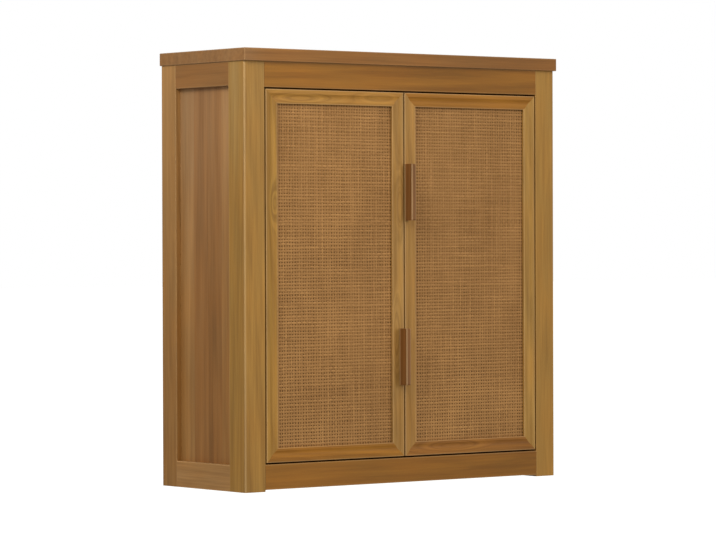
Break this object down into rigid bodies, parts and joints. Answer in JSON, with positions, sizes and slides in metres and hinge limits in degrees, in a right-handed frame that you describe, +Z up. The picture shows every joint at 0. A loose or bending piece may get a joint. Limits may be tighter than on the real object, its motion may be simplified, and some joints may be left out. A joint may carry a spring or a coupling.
{
  "type": "bathroom wall cabinet",
  "caption": "Wooden wall cabinet with inset woven rattan doors on concealed hinges, adjustable shelves, bar pulls and a screw-fixed hanging rail.",
  "frame": {"origin": "on the wall plane, midway between the two wall screw holes in the hanging rail", "axes": "+X to the right seen from the front, +Y from the front into the wall, +Z up"},
  "size_m": [0.635, 0.2416, 0.686],
  "materials": {
    "case_wood": "satin stained pine",
    "panel_wood": "satin stained pine planks",
    "frame_wood": "satin stained pine moulding",
    "inner_wood": "satin stained pine",
    "backing_wood": "satin veneered board",
    "back_panel_wood": "satin veneered plywood",
    "dowel_wood": "bare beech",
    "pull_wood": "satin dark stained wood",
    "woven_rattan": "matt woven rattan",
    "hinge_steel": "nickel plated steel",
    "strike_steel": "zinc plated steel",
    "screw_steel": "zinc plated steel",
    "pin_steel": "nickel plated steel",
    "magnet_steel": "bare magnet steel",
    "catch_plastic": "matt brown plastic"
  },
  "bodies": {
    "case": {"back_panel": "back_panel_wood", "bottom_board": "inner_wood", "catch_block": "inner_wood", "catch_bodies": "catch_plastic", "catch_magnets": "magnet_steel", "catch_screws": "screw_steel", "cleat_screws": "screw_steel", "dowels": "dowel_wood", "floor_cleat_left": "inner_wood", "floor_cleat_right": "inner_wood", "front_bottom_rail": "case_wood", "front_post_left": "case_wood", "front_post_right": "case_wood", "front_top_rail": "case_wood", "hanging_rail": "inner_wood", "hinge_arms": "hinge_steel", "hinge_plate_screws": "screw_steel", "hinge_plates": "hinge_steel", "hinge_strip_left": "inner_wood", "hinge_strip_right": "inner_wood", "lower_back_rail": "inner_wood", "lower_shelf": "inner_wood", "rear_post_left": "case_wood", "rear_post_right": "case_wood", "shelf_pins": "pin_steel", "side_bottom_rail_left": "case_wood", "side_bottom_rail_right": "case_wood", "side_panel_left": "panel_wood", "side_panel_right": "panel_wood", "side_top_rail_left": "case_wood", "side_top_rail_right": "case_wood", "top_board": "case_wood", "top_cleat_left": "inner_wood", "top_cleat_right": "inner_wood", "upper_shelf": "inner_wood"},
    "door_left": {"door_left_backing_board": "backing_wood", "door_left_bottom_rail": "frame_wood", "door_left_cup_screws": "screw_steel", "door_left_hinge_cups": "hinge_steel", "door_left_inner_stile": "frame_wood", "door_left_outer_stile": "frame_wood", "door_left_pull": "pull_wood", "door_left_pull_screws": "screw_steel", "door_left_rattan_sheet": "woven_rattan", "door_left_strike": "strike_steel", "door_left_top_rail": "frame_wood"},
    "door_right": {"door_right_backing_board": "backing_wood", "door_right_bottom_rail": "frame_wood", "door_right_cup_screws": "screw_steel", "door_right_hinge_cups": "hinge_steel", "door_right_inner_stile": "frame_wood", "door_right_outer_stile": "frame_wood", "door_right_pull": "pull_wood", "door_right_pull_screws": "screw_steel", "door_right_rattan_sheet": "woven_rattan", "door_right_strike": "strike_steel", "door_right_top_rail": "frame_wood"},
    "hinge_links_left": {"hinge_links_left": "hinge_steel"},
    "hinge_links_right": {"hinge_links_right": "hinge_steel"}
  },
  "joints": [
    {"name": "door_left_hinge", "type": "hinge", "parent": "case", "child": "door_left", "pos_m": [-0.27475, -0.2236, -0.302], "axis": [0, 0, -1], "range_deg": [0, 95]},
    {"name": "door_right_hinge", "type": "hinge", "parent": "case", "child": "door_right", "pos_m": [0.27475, -0.2236, -0.302], "axis": [0, 0, 1], "range_deg": [0, 95]},
    {"name": "link_left_hinge", "type": "hinge", "parent": "case", "child": "hinge_links_left", "pos_m": [-0.27475, -0.2236, -0.302], "axis": [0, 0, -1], "range_deg": [0, 59]},
    {"name": "link_right_hinge", "type": "hinge", "parent": "case", "child": "hinge_links_right", "pos_m": [0.27475, -0.2236, -0.302], "axis": [0, 0, 1], "range_deg": [0, 59]}
  ],
  "couplings": [
    {"joint": "link_left_hinge", "follows": "door_left_hinge", "ratio": 0.62},
    {"joint": "link_right_hinge", "follows": "door_right_hinge", "ratio": 0.62}
  ]
}
